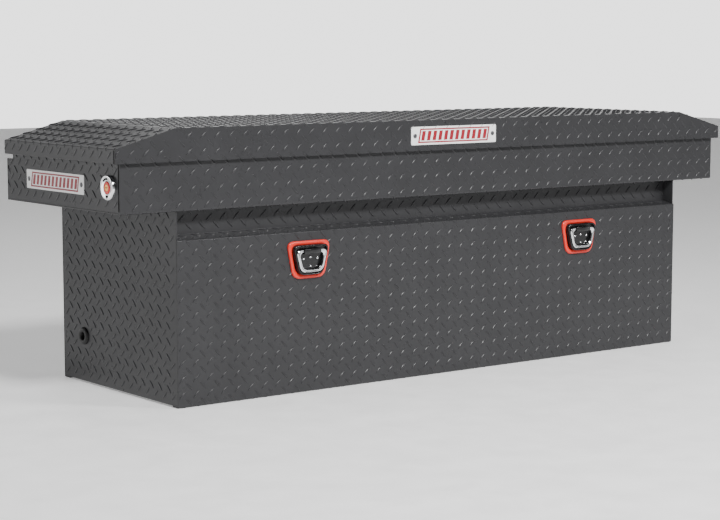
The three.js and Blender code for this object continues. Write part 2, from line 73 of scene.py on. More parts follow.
LEDGE_Z = 361 * MM  # front edge of the step in the tub's front
STEP_RISE = 8 * MM
FOOT = 25 * MM
RETURN_Y = BAND_Y + SHEET  # inner edge of the saddle's front return
CREASE = 762 * MM  # where the lid's flat top starts to slope down
LID_END_Z = 559 * MM


def middle(node):
    """The centre of a CAD node's box."""
    lo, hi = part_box(node)
    return (lo + hi) / 2


# ---------------------------------------------------------------- materials


class Look:
    """One procedural material. Patterns are laid out in metres, in the object's own frame."""

    def __init__(self, name, color, roughness, metallic=0.0):
        self.material = bpy.data.materials.new(name)
        self.material.use_nodes = True
        self.tree = self.material.node_tree
        self.shader = self.tree.nodes["Principled BSDF"]
        self.put(self.shader, "Metallic", metallic)
        self.coordinates = self.tree.nodes.new("ShaderNodeTexCoord").outputs["Object"]
        self.tint(color)
        self.sheen_of(roughness)

    def put(self, node, socket, value):
        node.inputs[socket].default_value = value

    def link(self, source, node, socket):
        self.tree.links.new(source, node.inputs[socket])

    def noise(self, size, detail=3.0, stretch=(1, 1, 1)):
        """A noise whose blotches are about size metres across."""
        mapping = self.tree.nodes.new("ShaderNodeMapping")
        self.put(mapping, "Scale", stretch)
        self.link(self.coordinates, mapping, "Vector")
        noise = self.tree.nodes.new("ShaderNodeTexNoise")
        self.put(noise, "Scale", 1 / size)
        self.put(noise, "Detail", detail)
        self.link(mapping.outputs["Vector"], noise, "Vector")
        return noise.outputs["Fac"]

    def spread(self, factor, low, high):
        """The noise's usual range, stretched to run from low to high."""
        ramp = self.tree.nodes.new("ShaderNodeMapRange")
        self.link(factor, ramp, "Value")
        for socket, value in (("From Min", 0.3), ("From Max", 0.7), ("To Min", low), ("To Max", high)):
            self.put(ramp, socket, value)
        return ramp.outputs["Result"]

    def tint(self, color, variation=0.06, size=0.09):
        """The colour, with a slow variation in lightness."""
        mix = self.tree.nodes.new("ShaderNodeMix")
        mix.data_type = "RGBA"
        self.link(self.spread(self.noise(size), 0, 1), mix, "Factor")
        for socket, factor in ((6, 1 - variation), (7, 1 + variation)):
            mix.inputs[socket].default_value = (*(c * factor for c in color), 1)
        self.link(mix.outputs[2], self.shader, "Base Color")

    def sheen_of(self, roughness, variation=0.12, size=0.03):
        low, high = roughness * (1 - variation), roughness * (1 + variation)
        self.link(self.spread(self.noise(size, 4), low, high), self.shader, "Roughness")

    def bump(self, size, depth, stretch=(1, 1, 1)):
        """Fine relief: a noise about size metres across and depth metres high."""
        node = self.tree.nodes.new("ShaderNodeBump")
        self.put(node, "Distance", depth)
        self.put(node, "Strength", 1.0)
        self.link(self.noise(size, 2, stretch), node, "Height")
        self.link(node.outputs["Normal"], self.shader, "Normal")
        return self


def make_looks():
    looks = {
        "tread_plate": Look("powder_coat", (0.031, 0.031, 0.0328), 0.3).bump(1.6 * MM, 0.05 * MM),
        "liner_sheet": Look("coated_liner", (0.05, 0.05, 0.051), 0.42).bump(1.2 * MM, 0.04 * MM),
        "zinc_steel": Look("zinc", (0.56, 0.57, 0.58), 0.33, 1.0).bump(4 * MM, 0.03 * MM, (1, 6, 6)),
        "chrome": Look("chrome", (0.86, 0.87, 0.88), 0.12, 1.0).bump(3 * MM, 0.004 * MM),
        "black_enamel": Look("black_enamel", (0.006, 0.006, 0.0065), 0.26).bump(0.9 * MM, 0.02 * MM),
        "red_plastic": Look("red_plastic", (0.78, 0.032, 0.018), 0.3).bump(0.8 * MM, 0.01 * MM),
        "name_plate": Look("plate_aluminium", (0.9, 0.9, 0.89), 0.38).bump(6 * MM, 0.01 * MM, (0.2, 8, 8)),
        "key_brass": Look("key_brass", (0.9, 0.5, 0.16), 0.35, 0.6).bump(0.7 * MM, 0.01 * MM),
        "plate_ink": Look("plate_ink", (0.27, 0.004, 0.014), 0.45).bump(0.8 * MM, 0.01 * MM),
        "dull_rivet": Look("dull_rivet", (0.1, 0.1, 0.105), 0.36, 0.7).bump(0.8 * MM, 0.01 * MM),
        "sealant": Look("sealant", (0.002, 0.002, 0.002), 0.8).bump(0.7 * MM, 0.04 * MM),
        "rubber": Look("rubber", (0.012, 0.012, 0.012), 0.62).bump(0.7 * MM, 0.04 * MM),
    }
    looks["tread_plate"].put(looks["tread_plate"].shader, "Specular IOR Level", 0.28)
    looks["sealant"].put(looks["sealant"].shader, "Specular IOR Level", 0.1)
    return {slot: look.material for slot, look in looks.items()}


LOOKS = make_looks()

# ---------------------------------------------------------------- mesh helpers


def piece(name, mesh, slot, body, replaces=(), look=None):
    """Puts a finished mesh into the scene as a piece that rides on a CAD body."""
    obj = bpy.data.objects.new(name, mesh)
    bpy.context.scene.collection.objects.link(obj)
    mesh.materials.clear()
    mesh.materials.append(LOOKS[look or slot])
    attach(obj, body)
    if replaces:
        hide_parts(*replaces)
    return obj


def smooth(mesh, sharp_above=40):
    """Smooth shading that keeps the edges steeper than that many degrees crisp."""
    for polygon in mesh.polygons:
        polygon.use_smooth = True
    mesh.set_sharp_from_angle(angle=math.radians(sharp_above))


def mesh_of(name, verts, faces, place=None, sharp_above=40):
    """A mesh from vertex and face lists, with its faces pointing out."""
    mesh = bpy.data.meshes.new(name)
    mesh.from_pydata([place @ Vector(v) if place else Vector(v) for v in verts], [], faces)
    bm = bmesh.new()
    bm.from_mesh(mesh)
    bmesh.ops.recalc_face_normals(bm, faces=bm.faces)
    bm.to_mesh(mesh)
    bm.free()
    smooth(mesh, sharp_above)
    return mesh


def loft(rings, closed=False, capped=True):
    """Vertices and faces joining rings of equal length, with end caps or joined end to end."""
    count = len(rings[0])
    verts = [v for ring in rings for v in ring]
    faces = []
    for r in range(len(rings) if closed else len(rings) - 1):
        a, b = r * count, (r + 1) % len(rings) * count
        faces += [(a + i, a + (i + 1) % count, b + (i + 1) % count, b + i) for i in range(count)]
    if capped and not closed:
        faces += [tuple(range(count)), tuple(range(len(verts) - count, len(verts)))]
    return verts, faces


def lathe(name, profile, place, sharp_above=40, segments=64):
    """A turned mesh about its own Z: profile points are (radius, height), closed on itself or on the axis."""
    on_axis = profile[0][0] == 0
    inner = profile[1:-1] if on_axis else profile
    verts, faces = [], []
    for k in range(segments):
        angle = 2 * math.pi * k / segments
        verts += [(r * math.cos(angle), r * math.sin(angle), h) for r, h in inner]
    n = len(inner)
    for k in range(segments):
        a, b = k * n, (k + 1) % segments * n
        for i in range(n - 1 if on_axis else n):
            j = (i + 1) % n
            faces.append((a + i, b + i, b + j, a + j))
    if on_axis:
        bottom, top = len(verts), len(verts) + 1
        verts += [(0, 0, profile[0][1]), (0, 0, profile[-1][1])]
        for k in range(segments):
            a, b = k * n, (k + 1) % segments * n
            faces += [(bottom, b, a), (top, a + n - 1, b + n - 1)]
    return mesh_of(name, verts, faces, place, sharp_above)


def trapezoid(top, bottom, height, reach, inset=0.0, steps=8):
    """Points round a trapezoid with rounded corners, wider at the top, in X and Z, shrunk by inset."""
    slope = math.hypot(1, (top - bottom) / 2 / height)
    half_height = height / 2 - inset

    def half_at(z):
        return (top + bottom) / 4 + (top - bottom) / 2 * z / height - inset * slope

    up, down = half_at(half_height), half_at(-half_height)
    corners = [Vector((up, half_height)), Vector((-up, half_height))]
    corners += [Vector((-down, -half_height)), Vector((down, -half_height))]
    points = []
    for i, corner in enumerate(corners):
        start = corner + (corners[i - 1] - corner).normalized() * reach
        end = corner + (corners[(i + 1) % 4] - corner).normalized() * reach
        for k in range(steps + 1):
            t = k / steps
            points.append(start * (1 - t) ** 2 + corner * 2 * t * (1 - t) + end * t ** 2)
    return points


def joined(name, meshes):
    """One mesh holding several separate solids."""
    bm = bmesh.new()
    for part in meshes:
        bm.from_mesh(part)
        bpy.data.meshes.remove(part)
    mesh = bpy.data.meshes.new(name)
    bm.to_mesh(mesh)
    bm.free()
    return mesh


# ---------------------------------------------------------------- folded sheet metal

BEND = 3.2 * MM  # outer bend radius
INNER_BEND = 0.9 * MM
CUT_EDGE = 0.5 * MM
LONG_FOLD = 0.25  # folds are longer than this; cut-outs and corners are shorter


def formed_sheet(name, bm, body, replaces):
    """A sheet-metal piece with radiused folds and dulled cut edges."""
    bmesh.ops.remove_doubles(bm, verts=bm.verts, dist=0.01 * MM)
    bmesh.ops.dissolve_limit(bm, angle_limit=math.radians(1), verts=bm.verts, edges=bm.edges)

    def is_cut_face(face):
        return face.calc_area() / max(e.calc_length() for e in face.edges) < 1.5 * SHEET

    def fold_edges(convex):
        return [
            e for e in bm.edges
            if len(e.link_faces) == 2 and e.calc_length() > LONG_FOLD and e.is_convex == convex
            and e.calc_face_angle() > math.radians(10) and not any(is_cut_face(f) for f in e.link_faces)
        ]

    for convex, offset, segments in ((True, BEND, 4), (False, INNER_BEND, 2)):
        bmesh.ops.bevel(
            bm, geom=fold_edges(convex), offset=offset, segments=segments, profile=0.5,
            affect="EDGES", clamp_overlap=True,
        )
    sharp = [e for e in bm.edges if len(e.link_faces) == 2 and e.calc_face_angle() > math.radians(50)]
    bmesh.ops.bevel(
        bm, geom=sharp, offset=CUT_EDGE, segments=1, profile=0.5, affect="EDGES", clamp_overlap=True,
    )
    mesh = bpy.data.meshes.new(name)
    bm.to_mesh(mesh)
    bm.free()
    smooth(mesh, 50)
    obj = piece(name, mesh, "tread_plate", body, replaces)
    obj.modifiers.new("flat_faces", "WEIGHTED_NORMAL").keep_sharp = True


def build_body_sheets():
    for node in BODY_SHEETS:
        bm = bmesh.new()
        bm.from_mesh(NODES[node].data)
        formed_sheet(node + "_sheet", bm, "body", [node])


def build_lid_shell():
    """The lid's top, slopes and skirts as one shell, open below."""
    x, y0, y1 = lid_hi.x, lid_lo.y, lid_hi.y
    slope = math.atan2(lid_hi.z - LID_END_Z, x - CREASE)
    drop, inset = SHEET * math.tan((math.pi / 2 - slope) / 2), SHEET * math.tan(slope / 2)
    outer = [(x, lid_lo.z), (x, LID_END_Z), (CREASE, lid_hi.z)]
    inner = [(x - SHEET, lid_lo.z), (x - SHEET, LID_END_Z - drop), (CREASE - inset, lid_hi.z - SHEET)]
    verts, faces = [], []
    for profile, low, high in ((outer, y0, y1), (inner, y0 + SHEET, y1 - SHEET)):
        loop = profile + [(-a, z) for a, z in reversed(profile)]
        first = len(verts)
        verts += [(a, low, z) for a, z in loop] + [(a, high, z) for a, z in loop]
        faces += [(first + i, first + i + 1, first + 7 + i, first + 6 + i) for i in range(5)]
        faces += [tuple(range(first, first + 6)), tuple(range(first + 6, first + 12))]
    for a, b in ((0, 6), (6, 11), (11, 5), (5, 0)):
        faces.append((a, b, b + 12, a + 12))
    shell = mesh_of("lid_shell", verts, faces)
    bm = bmesh.new()
    bm.from_mesh(shell)
    formed_sheet("lid_shell", bm, "lid", LID_SHEETS)


def kept_node(node, slot, bevel=0.4 * MM):
    """A CAD node that stays as it is, with its edges eased and a better material."""
    obj = NODES[node]
    obj.data.materials.clear()
    obj.data.materials.append(LOOKS[slot])
    for polygon in obj.data.polygons:
        polygon.use_smooth = True
    obj.modifiers.new("weld", "WELD").merge_threshold = 0.01 * MM
    edges = obj.modifiers.new("edges", "BEVEL")
    edges.width = bevel
    edges.segments = 2
    edges.limit_method = "ANGLE"
    edges.angle_limit = math.radians(40)
    obj.modifiers.new("flat_faces", "WEIGHTED_NORMAL")


# ---------------------------------------------------------------- tread pattern

LUG_LENGTH = 25.5 * MM
LUG_WIDTH = 5.5 * MM
LUG_HEIGHT = 1.7 * MM
PITCH_U, PITCH_V = 35.4 * MM, 34.2 * MM  # along the plate and up it
LUG_ROOT = 0.25 * MM  # how far a lug's foot is sunk into the plate
LUG_STATIONS = (-0.78, -0.42, 0, 0.42, 0.78)
EDGE_CLEAR = 1.5 * MM  # plain margin at an edge of the plate
PLATE_EDGE = -1 * MM  # lugs are left out as far in as this from a name plate's edge


class Strip:
    """A face of the plate. u runs along the fold lines, v across them, and lugs wrap round the folds.

    The path is the face's outline in its own plane, with the outside on its left."""

    def __init__(self, path, axis, span, limit=None, phase=(0.0, 0.0)):
        self.axis, self.span, self.limit, self.phase = axis, span, limit, phase
        self.pieces = []  # (start v, length, start point, heading, curvature)
        points = [Vector(p) for p in path]
        headings = [(b - a).normalized() for a, b in zip(points, points[1:])]
        turns = [a.angle_signed(b) for a, b in zip(headings, headings[1:])]
        cuts = [0, *(BEND * math.tan(abs(t) / 2) for t in turns), 0]
        v = 0.0
        for i, heading in enumerate(headings):
            length = (points[i + 1] - points[i]).length - cuts[i] - cuts[i + 1]
            start = points[i] + heading * cuts[i]
            self.pieces.append((v, length, start, heading, 0.0))
            v += length
            if i < len(turns) and abs(turns[i]) > 1e-6:
                turn = -turns[i]  # counter-clockwise positive
                self.pieces.append((v, BEND * abs(turn), start + heading * length, heading, turn))
                v += BEND * abs(turn)
        self.length = v

    def place(self, u, v, h):
        for start_v, length, start, heading, turn in self.pieces:
            if v <= start_v + length or (start_v, length) == self.pieces[-1][:2]:
                break
        s = v - start_v
        left = Vector((-heading.y, heading.x))
        if turn == 0:
            point, normal = start + heading * s, left
        else:
            side = math.copysign(1, turn)
            angle = s / BEND * side
            centre = start + left * BEND * side
            spin = Matrix.Rotation(angle, 2)
            point = centre + spin @ (start - centre)
            normal = spin @ left
        a, b = point + normal * h
        return Vector((u, a, b)) if self.axis == "X" else Vector((a, u, b))


def lug_rings():
    """A lug's cross-sections as (along, across, height), from one tip to the other."""
    rings = []
    for t in LUG_STATIONS:
        along, wide = t * LUG_LENGTH / 2, (1 - t * t) * LUG_WIDTH / 2
        high = (1 - t ** 4) * LUG_HEIGHT
        shoulder = 0.75 * high
        section = [
            (-wide, -LUG_ROOT), (-0.5 * wide, shoulder), (0, high), (0.5 * wide, shoulder), (wide, -LUG_ROOT),
        ]
        rings.append([(along, across, h) for across, h in section])
    return rings


LUG_VERTS, LUG_FACES = loft(lug_rings(), capped=False)
LUG_TIPS = [(-LUG_LENGTH / 2, 0, -LUG_ROOT), (LUG_LENGTH / 2, 0, -LUG_ROOT)]
LUG_RING = len(LUG_VERTS) // len(LUG_STATIONS)
LUG_COUNT = len(LUG_VERTS) + 2


def lug_faces(base):
    faces = [tuple(base + i for i in face) for face in LUG_FACES]
    first, last = base + LUG_COUNT - 2, base + LUG_COUNT - 1
    end = base + len(LUG_VERTS) - LUG_RING
    for i in range(LUG_RING):
        j = (i + 1) % LUG_RING
        faces.append((first, base + j, base + i))
        faces.append((last, end + i, end + j))
    return faces


def lugs(name, body, strips, skip=None):
    """The raised lugs on some strips: one lattice of them leans one way, and a second the other.

    The strips' phases were fitted to the photo face by face. The match is weak on the lid, on the
    saddle's left part and on the lower end."""
    verts, faces = [], []
    for strip in strips:
        low_u, high_u = strip.span[0] + EDGE_CLEAR, strip.span[1] - EDGE_CLEAR
        low_v, high_v = EDGE_CLEAR, strip.length - EDGE_CLEAR
        for lean, shift in ((1, 0.0), (-1, 0.5)):
            i0, j0 = shift + strip.phase[0] / PITCH_U, shift + strip.phase[1] / PITCH_V
            for i in range(math.ceil(low_u / PITCH_U - i0), math.floor(high_u / PITCH_U - i0) + 1):
                for j in range(math.ceil(low_v / PITCH_V - j0), math.floor(high_v / PITCH_V - j0) + 1):
                    u, v = (i + i0) * PITCH_U, (j + j0) * PITCH_V
                    centre = strip.place(u, v, 0)
                    if (skip and skip(centre)) or (strip.limit and not strip.limit(centre)):
                        continue
                    faces += lug_faces(len(verts))
                    for along, across, h in LUG_VERTS + LUG_TIPS:
                        du = (along - lean * across) * math.sqrt(0.5)
                        dv = (lean * along + across) * math.sqrt(0.5)
                        at_u = min(max(u + du, low_u), high_u)
                        at_v = min(max(v + dv, low_v), high_v)
                        verts.append(strip.place(at_u, at_v, h))
    mesh = mesh_of(name, verts, faces, sharp_above=70)
    return piece(name, mesh, "tread_plate", body)


def in_box(node, pad=0.0):
    lo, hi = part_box(node)
    return lambda p: lo.x - pad < p.x < hi.x + pad and lo.z - pad < p.z < hi.z + pad


def in_side_box(node, pad=0.0):
    lo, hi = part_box(node)
    return lambda p: lo.y - pad < p.y < hi.y + pad and lo.z - pad < p.z < hi.z + pad


def in_side_disc(node, pad=0.0):
    lo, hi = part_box(node)
    centre, radius = (lo + hi) / 2, (hi.z - lo.z) / 2
    return lambda p: math.hypot(p.y - centre.y, p.z - centre.z) < radius + pad


def any_of(*tests):
    return lambda p: any(test(p) for test in tests)


def lid_top(x):
    """Height of the lid's outer face at that distance along it."""
    share = max(0.0, (abs(x) - CREASE) / (lid_hi.x - CREASE))
    return lid_hi.z + (LID_END_Z - lid_hi.z) * share


def build_tread():
    whole = (lid_lo.x, lid_hi.x)
    tub = (-TUB_HALF, TUB_HALF)
    saddle = (-SADDLE_HALF, SADDLE_HALF)
    ends = (FRONT + SHEET + GAP, REAR - SHEET - GAP)

    # lid: one sheet folded down front and back, with the slopes folded down again at the ends
    over = [(lid_lo.y, lid_lo.z), (lid_lo.y, lid_hi.z), (lid_hi.y, lid_hi.z), (lid_hi.y, lid_lo.z)]
    lid_phase = (-20 * MM, 21 * MM)
    strips = [Strip(over, "X", (-CREASE, CREASE), phase=lid_phase)]
    right = [(CREASE, lid_hi.z), (lid_hi.x, LID_END_Z), (lid_hi.x, lid_lo.z)]
    left = [(-x, z) for x, z in reversed(right)]
    strips += [Strip(path, "Y", (lid_lo.y, lid_hi.y)) for path in (right, left)]

    def below_slope(p):
        return p.z < lid_top(p.x) - 7 * MM

    for y, flip in ((lid_lo.y, 1), (lid_hi.y, -1)):
        skirt = [(y, lid_lo.z), (y, lid_hi.z)][::flip]
        for span in ((whole[0], -CREASE), (CREASE, whole[1])):
            strips.append(Strip(skirt, "X", span, below_slope, lid_phase))
    under_plate = in_box("name_plate_front", PLATE_EDGE)

    def covered(p):
        behind_hinge = p.y > lid_hi.y - 1 * MM and p.z < HINGE_TOP + 10 * MM
        return behind_hinge or (p.y < lid_lo.y + 1 * MM and under_plate(p))

    lugs("lid_tread", "lid", strips, skip=covered)

    # saddle: front, back and ends
    top = RIM_Z + EDGE_CLEAR
    folded = [(RETURN_Y, SADDLE_Z), (FRONT, SADDLE_Z), (FRONT, top)]
    front = Strip(folded, "X", saddle, phase=(-6 * MM, -PITCH_V / 2))
    back = Strip([(REAR, SHELF_Z), (REAR, SADDLE_Z)], "X", saddle)
    lugs("saddle_tread_front", "body", [front])
    lugs("saddle_tread_back", "body", [back])

    def clear_of_notch(p):
        return p.z < SHELF_Z - 6 * MM or p.y < REAR - 34 * MM

    for name, side in SIDES.items():
        path = [(side * SADDLE_HALF, z) for z in (top, SADDLE_Z + SHEET + GAP)][::side]
        plate = in_side_box("name_plate_" + name, PLATE_EDGE)
        lock = in_side_disc("lock_escutcheon_" + name, 2 * MM)
        strip = Strip(path, "Y", ends, clear_of_notch, (3 * MM, 0))
        lugs("saddle_tread_" + name, "body", [strip], skip=any_of(plate, lock))

    # tub: the stepped front, the back and the ends
    stepped = [(FRONT + FOOT, 0), (FRONT, 0), (FRONT, LEDGE_Z), (BAND_Y, LEDGE_Z + STEP_RISE)]
    band = [(BAND_Y, LEDGE_Z + STEP_RISE), (BAND_Y, SADDLE_Z)]
    fronts = [
        Strip(stepped, "X", tub, phase=(-2 * MM, PITCH_V / 2)),
        Strip(band, "X", tub, phase=(-14 * MM, 0)),
    ]
    bezels = any_of(*(in_box("tie_down_bezel_" + name, -8 * MM) for name in SIDES))
    lugs("tub_tread_front", "body", fronts, skip=bezels)
    lugs("tub_tread_back", "body", [Strip([(REAR, SADDLE_Z), (REAR, 0), (REAR - FOOT, 0)], "X", tub)])
    for name, side in SIDES.items():
        path = [(side * TUB_HALF, z) for z in (SADDLE_Z, SHEET + GAP)][::side]
        strip = Strip(path, "Y", ends, phase=(7 * MM, 0))
        lugs("tub_tread_" + name, "body", [strip], skip=in_side_disc("grommet_" + name, 4 * MM))


# ---------------------------------------------------------------- tie-downs

TIE_X, TIE_Z = 414 * MM, 298 * MM
BEZEL = (119 * MM, 86 * MM, 84 * MM, 20 * MM)  # top, bottom, height, corner reach
PAN = (98 * MM, 64 * MM, 67 * MM, 15 * MM)
RING = (86 * MM, 58 * MM, 51 * MM, 14 * MM)
RING_Y, RING_PIVOT_Z, RING_Z = -14 * MM, 20 * MM, -1.75 * MM
STUDS = ((-19, 3), (19, 3), (0, 6), (0, -14))
SQUARENESS = 5  # of the pivot block's outline: 2 would be a circle
BLOCK_ENDS = ((-23, 5.3), (-22.3, 6.1), (22.3, 6.1), (23, 5.3))  # X and half width, with eased ends
BLOCK_BORE = 4.65


def outlined(name, outline, section, place, closed, rise=0.0, sharp_above=35):
    """A mesh swept round a trapezoid: section points are (inset, Y) in millimetres.

    It closes on itself as a ring, or else it is capped at both ends of the section."""
    rings = []
    for inset, y in section:
        rings.append([(p.x, y * MM, p.y + rise) for p in trapezoid(*outline, inset * MM)])
    verts, faces = loft(rings, closed)
    return mesh_of(name, verts, faces, place, sharp_above)


def pivot_block(name, place):
    """The block over the ring's top bar, bored through along X."""
    def around(x, radius, square):
        ring = []
        for k in range(32):
            a = 2 * math.pi * k / 32
            c, s = math.cos(a), math.sin(a)
            r = radius
            if square:
                r /= (abs(c) ** SQUARENESS + abs(s) ** SQUARENESS) ** (1 / SQUARENESS)
            ring.append((x * MM, RING_Y + r * c * MM, RING_PIVOT_Z + r * s * MM))
        return ring

    rings = [around(x, r, True) for x, r in BLOCK_ENDS]
    rings += [around(x, BLOCK_BORE, False) for x in (BLOCK_ENDS[-1][0], BLOCK_ENDS[0][0])]
    verts, faces = loft(rings, closed=True)
    return mesh_of(name, verts, faces, place, 50)


def build_tie_downs():
    for side, sign in SIDES.items():
        place = Matrix.Translation((sign * TIE_X, FRONT, TIE_Z))
        rim = [
            (0, -0.3), (0, -2.6), (0.5, -4), (1.6, -5), (3.2, -5.5), (5.4, -5.3), (7.6, -4.6), (8.6, -3.6),
            (8.6, -0.3),
        ]
        bezel = outlined("tie_down_trim_" + side, BEZEL, rim, place, True)
        piece(bezel.name, bezel, "red_plastic", "body", ["tie_down_bezel_" + side])

        shell = [
            (2.5, -5.5), (2.5, 8), (0, 8), (0, -12.6), (0.5, -14), (1.5, -14.9), (2.2, -15), (2.9, -14.6),
            (3.2, -13.6), (3.6, -8),
        ]
        parts = [outlined("shell", PAN, shell, place, False), pivot_block("block", place)]
        body = joined("tie_down_body_" + side, parts)
        piece(body.name, body, "black_enamel", "body", ["tie_down_pan_" + side])

        domes = []
        for x, z in STUDS:
            at = place @ Matrix.Translation((x * MM, -8 * MM, z * MM)) @ Matrix.Rotation(math.pi / 2, 4, "X")
            dome = [(0, -0.5), (3.1, -0.5), (3.1, 1.4), (2.7, 2.3), (1.6, 2.9), (0, 3.1)]
            domes.append(lathe("stud", [(r * MM, h * MM) for r, h in dome], at, segments=20))
        studs = joined("tie_down_studs_" + side, domes)
        piece(studs.name, studs, "chrome", "body")

        # a shallow groove runs along the middle of the ring's face
        bar = [
            (0, 1.7), (0, -1.9), (1.5, -3.7), (2.2, -3.7), (3.2, -1.5), (4.2, -3.7), (4.9, -3.7),
            (6.6, -1.9), (6.6, 1.7), (5.0, 3.7), (1.7, 3.7),
        ]
        at = place @ Matrix.Translation((0, RING_Y, 0))
        ring = outlined("tie_down_loop_" + side, RING, bar, at, True, RING_Z)
        piece(ring.name, ring, "chrome", "tie_down_ring_" + side, ["tie_down_ring_" + side])


# ---------------------------------------------------------------- locks


def build_locks():
    for side, sign in SIDES.items():
        centre = middle("lock_escutcheon_" + side)
        centre.x = sign * SADDLE_HALF
        place = Matrix.Translation(centre) @ Matrix.Rotation(sign * math.pi / 2, 4, "Y")
        rim = [
            (13.6, -3.3), (13.6, 7), (14.2, 7.6), (18.5, 7.8), (21.8, 8.3), (23.4, 9), (24.8, 8.8),
            (25.9, 7.8), (26.5, 6), (26.5, 0.3), (20, 0.3), (20, -3.3),
        ]
        dial = lathe("lock_dial_" + side, [(r * MM, h * MM) for r, h in rim], place, 30, 96)
        piece(dial.name, dial, "chrome", "body", ["lock_escutcheon_" + side])

        # painted marks beside the button: an arc above it and a small square below
        marks = [arc_mark(place, -100, -42, 16.6, 20.4), arc_mark(place, 75, 105, 16, 21)]
        paint = joined("lock_marks_" + side, marks)
        piece(paint.name, paint, "black_enamel", "body", look="sealant")


def arc_mark(place, start, end, inner, outer):
    """A thin patch between two radii and two angles; minus 90 degrees is up when the box stands."""
    rings = []
    for k in range(13):
        a = math.radians(start + (end - start) * k / 12)
        c, s = math.cos(a), math.sin(a)
        corners = ((inner, 7.6), (outer, 7.8), (outer, 8.3), (inner, 8.3))
        rings.append([(-r * s * MM, r * c * MM, h * MM) for r, h in corners])
    verts, faces = loft(rings)
    return mesh_of("mark", verts, faces, place)


# ---------------------------------------------------------------- name plates, grommets, seams


def slab(outline, y0, y1, place, name="slab"):
    """A flat slab in X and Z, in millimetres."""
    rings = [[(x * MM, y * MM, z * MM) for x, z in outline] for y in (y0, y1)]
    verts, faces = loft(rings)
    return mesh_of(name, verts, faces, place)


# the plates' print, in millimetres: a leaning frame and the bars inside it
PRINT = {"end": 106, "high": 16.5, "line": 3.2, "side": 4, "lean": 0.2}
BARS = {"first": -98, "last": 90, "pitch": 17, "width": 10, "high": 11}
RIVET_X = 118


def slanted(x0, x1, z0, z1):
    """A four-sided outline whose ends lean with the frame."""
    low, high = PRINT["lean"] * z0, PRINT["lean"] * z1
    return [(x0 + low, z0), (x1 + low, z0), (x1 + high, z1), (x0 + high, z1)]


def plate_print():
    """Outlines of the frame's four sides and of the bars inside it."""
    end, high, side = PRINT["end"], PRINT["high"], PRINT["side"]
    edge = high - PRINT["line"]
    outlines = [
        slanted(-end, end, edge, high), slanted(-end, end, -high, -edge),
        slanted(-end, side - end, -edge, edge), slanted(end - side, end, -edge, edge),
    ]
    bars = range(BARS["first"], BARS["last"], BARS["pitch"])
    return outlines + [slanted(x, x + BARS["width"], -BARS["high"], BARS["high"]) for x in bars]


def build_name_plates():
    """Each plate has a slanted red frame round a row of equal red bars, and a rivet at each end."""
    frames = {"front": Matrix.Translation((0, LID_FRONT, middle("name_plate_front").z))}
    for side, sign in SIDES.items():
        centre = middle("name_plate_" + side)
        centre.x = sign * SADDLE_HALF
        frames[side] = Matrix.Translation(centre) @ Matrix.Rotation(sign * math.pi / 2, 4, "Z")
    for name, place in frames.items():
        body = "lid" if name == "front" else "body"
        print_mesh = joined("plate_print_" + name, [slab(p, -1.75, -1.45, place) for p in plate_print()])
        piece(print_mesh.name, print_mesh, "red_plastic", body, look="plate_ink")
        heads = []
        for x in (-RIVET_X, RIVET_X):
            at = place @ Matrix.Translation((x * MM, -1.5 * MM, 0)) @ Matrix.Rotation(math.pi / 2, 4, "X")
            dome = [(0, -0.3), (5.4, -0.3), (5.2, 0.6), (3.8, 1.3), (1.9, 1.7), (0, 1.8)]
            heads.append(lathe("head", [(r * MM, h * MM) for r, h in dome], at, segments=24))
        rivets = joined("plate_rivets_" + name, heads)
        piece(rivets.name, rivets, "zinc_steel", body, look="dull_rivet")
        kept_node("name_plate_" + name, "name_plate")


def build_grommets():
    for side, sign in SIDES.items():
        centre = middle("grommet_" + side)
        centre.x = sign * TUB_HALF
        place = Matrix.Translation(centre) @ Matrix.Rotation(sign * math.pi / 2, 4, "Y")
        lips = [
            (9, -6.3), (17, -6.3), (18, -5.3), (18, -3.3), (13.6, -3.3), (13.6, 0.3), (20, 0.3), (20, 2.4),
            (19, 4.2), (17, 5.6), (14, 6.2), (11.4, 5.8), (9.8, 4.8), (9, 3.2),
        ]
        ring = lathe("grommet_ring_" + side, [(r * MM, h * MM) for r, h in lips], place, 50)
        piece(ring.name, ring, "rubber", "body", ["grommet_" + side])


def build_corner_seams():
    """The dark line down each front corner, on the saddle and on the lid. What it really is isn't known."""
    for side, sign in SIDES.items():
        turned = Matrix.Rotation(sign * math.pi / 2, 4, "Z")
        joints = (
            ("saddle", SADDLE_HALF, FRONT, SADDLE_Z + 2 * SHEET, RIM_Z - SHEET, "body"),
            ("lid", lid_hi.x, lid_lo.y, lid_lo.z + MM, LID_END_Z - 2 * MM, "lid"),
        )
        for where, x, y, z0, z1, body in joints:
            place = Matrix.Translation((sign * x, y, 0)) @ turned
            near, far = sorted((sign * 2.6, sign * 6.0))
            outline = [(near, z0 / MM), (far, z0 / MM), (far, z1 / MM), (near, z1 / MM)]
            seam = slab(outline, -0.3, 1.0, place, f"{where}_seam_{side}")
            piece(seam.name, seam, "rubber", body, look="sealant")


PLAIN_NODES = {
    "liner_sheet": ("lid_liner", "rim_flange"),
    "chrome": ("striker", "strut_rod"),
    "red_plastic": ("lock_button",),
    "key_brass": ("lock_cylinder",),
    "rubber": ("lid_seal",),
    "black_enamel": ("strut_cylinder",),
    "zinc_steel": ("hinge_leaf", "hinge_pin", "strut_bracket", "lock_housing", "latch", "lid_rib"),
}


def build_plain_nodes():
    for slot, starts in PLAIN_NODES.items():
        for node in NODES:
            if node.startswith(starts):
                kept_node(node, slot)


# ---------------------------------------------------------------- stage


def area_light(name, place, target, size, power):
    light = bpy.data.lights.new(name, "AREA")
    light.shape = "RECTANGLE"
    light.size, light.size_y = size
    light.energy = power
    obj = bpy.data.objects.new(name, light)
    bpy.context.scene.collection.objects.link(obj)
    obj.location = place
    obj.rotation_euler = (Vector(target) - Vector(place)).to_track_quat("-Z", "Y").to_euler()


